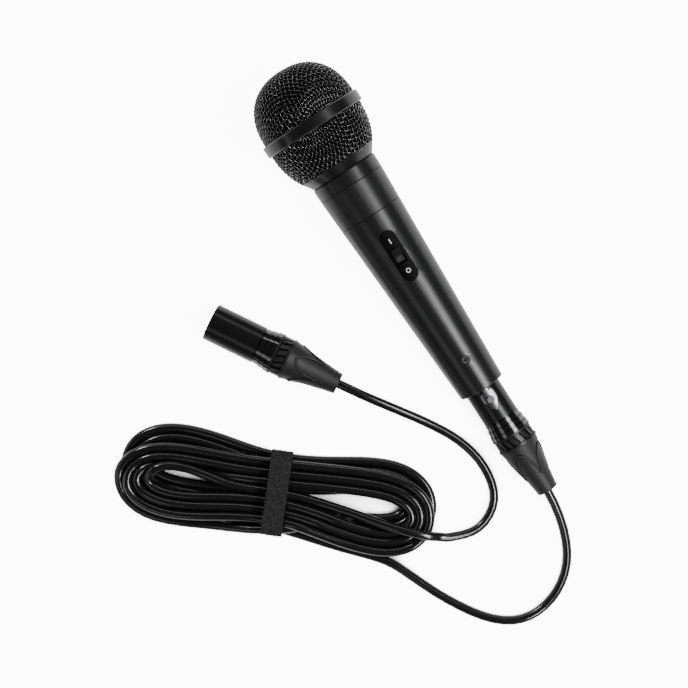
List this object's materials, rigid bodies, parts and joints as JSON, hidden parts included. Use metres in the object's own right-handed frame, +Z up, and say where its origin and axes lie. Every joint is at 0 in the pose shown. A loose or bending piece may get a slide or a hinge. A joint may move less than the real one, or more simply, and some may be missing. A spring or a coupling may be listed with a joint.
{
  "type": "dynamic microphone",
  "caption": "Handheld vocal microphone with a ball grille and an on-off slide switch, plugged into a black cable that is coiled, tied and ends in a plug",
  "frame": {"origin": "on the table, under the middle of the microphone's own length and width, without the cable", "axes": "+X along the microphone towards its head, seen from above; +Z up from the table; the microphone's axis rises 5.1 degrees towards the head"},
  "size_m": [0.2982, 0.207, 0.0547],
  "materials": {
    "grille_steel": "woven wire, black",
    "band_satin": "satin",
    "collar_satin": "satin",
    "foam": "open foam",
    "handle_black": "satin",
    "ring_black": "satin",
    "black_rubber": "matt",
    "capsule_metal": "matt",
    "cloth": "woven",
    "film": "clear amber",
    "copper_winding": "enamelled",
    "steel": "plain",
    "magnet_metal": "plated",
    "black_plastic": "matt",
    "knob_plastic": "satin",
    "contact_metal": "plated",
    "screw_steel": "plated",
    "board": "phenolic",
    "wire_insulation": "pvc",
    "connector_black": "satin",
    "connector_gloss": "gloss",
    "latch_silver": "plated",
    "insert_plastic": "matt",
    "cable_jacket": "glossy pvc",
    "tie_fabric": "hook and loop"
  },
  "bodies": {
    "cable": {"mic_plug_shell": "connector_black", "mic_plug_latch_pin": "steel", "mic_plug_insert": "insert_plastic", "mic_plug_contacts": "contact_metal", "mic_plug_rear_ring": "connector_gloss", "mic_plug_bushing": "black_plastic", "mic_plug_boot": "black_rubber", "mic_plug_chuck": "black_plastic", "mic_plug_leads": "wire_insulation", "far_plug_shell": "connector_black", "far_plug_insert": "insert_plastic", "far_plug_pins": "contact_metal", "far_plug_rear_ring": "connector_gloss", "far_plug_bushing": "black_plastic", "far_plug_boot": "black_rubber", "far_plug_chuck": "black_plastic", "far_plug_leads": "wire_insulation", "cable_from_mic": "cable_jacket", "cable_hank": "cable_jacket", "cable_tie": "tie_fabric", "cable_to_far_plug": "cable_jacket"},
    "latch": {"mic_plug_latch": "latch_silver"},
    "handle": {"capsule_front_grid": "capsule_metal", "acoustic_cloth": "cloth", "capsule_housing": "black_plastic", "pole_piece": "steel", "magnet": "magnet_metal", "yoke_cup": "steel", "rear_chamber": "capsule_metal", "shock_mount": "black_rubber", "capsule_terminals": "contact_metal", "neck_ring": "handle_black", "name_ring": "ring_black", "handle_shell": "handle_black", "tail_screw": "screw_steel", "socket_insert": "insert_plastic", "socket_pins": "contact_metal", "switch_bezel": "black_plastic", "switch_screws": "screw_steel", "switch_bracket": "board", "switch_housing": "steel", "switch_terminals": "contact_metal", "capsule_leads": "wire_insulation", "output_leads": "wire_insulation"},
    "switch_slider": {"switch_knob": "knob_plastic", "switch_contact": "contact_metal"},
    "head_carriage": {"head_gasket": "black_rubber"},
    "head": {"upper_grille": "grille_steel", "lower_grille": "grille_steel", "grille_band": "band_satin", "collar_ring": "collar_satin", "upper_foam_liner": "foam", "lower_foam_liner": "foam"},
    "coil": {"diaphragm": "film", "voice_coil": "copper_winding"}
  },
  "joints": [
    {"name": "unplug", "type": "slide", "parent": "cable", "child": "handle", "axis": [0.996, 0, 0.089], "range_m": [0, 0.025]},
    {"name": "latch_press", "type": "hinge", "parent": "cable", "child": "latch", "pos_m": [-0.10293, 0, 0.02082], "axis": [0, 1, 0], "range_deg": [0, 4.5], "stiffness_Nm_per_rad": 0.6, "springref_deg": -8.59},
    {"name": "switch_slide", "type": "slide", "parent": "handle", "child": "switch_slider", "axis": [-0.9909, 0, -0.1347], "range_m": [0, 0.004]},
    {"name": "head_thread", "type": "slide", "parent": "handle", "child": "head_carriage", "axis": [0.996, 0, 0.089], "range_m": [0, 0.0042]},
    {"name": "head_unscrew", "type": "hinge", "parent": "head_carriage", "child": "head", "pos_m": [0.03475, 0, 0.02489], "axis": [0.996, 0, 0.089], "range_deg": [0, 1440]},
    {"name": "coil_travel", "type": "slide", "parent": "handle", "child": "coil", "axis": [0.996, 0, 0.089], "range_m": [-0.0003, 0.0003], "stiffness_N_per_m": 800}
  ],
  "couplings": [
    {"joint": "head_thread", "follows": "head_unscrew", "m_per_rad": 0.00015915}
  ]
}
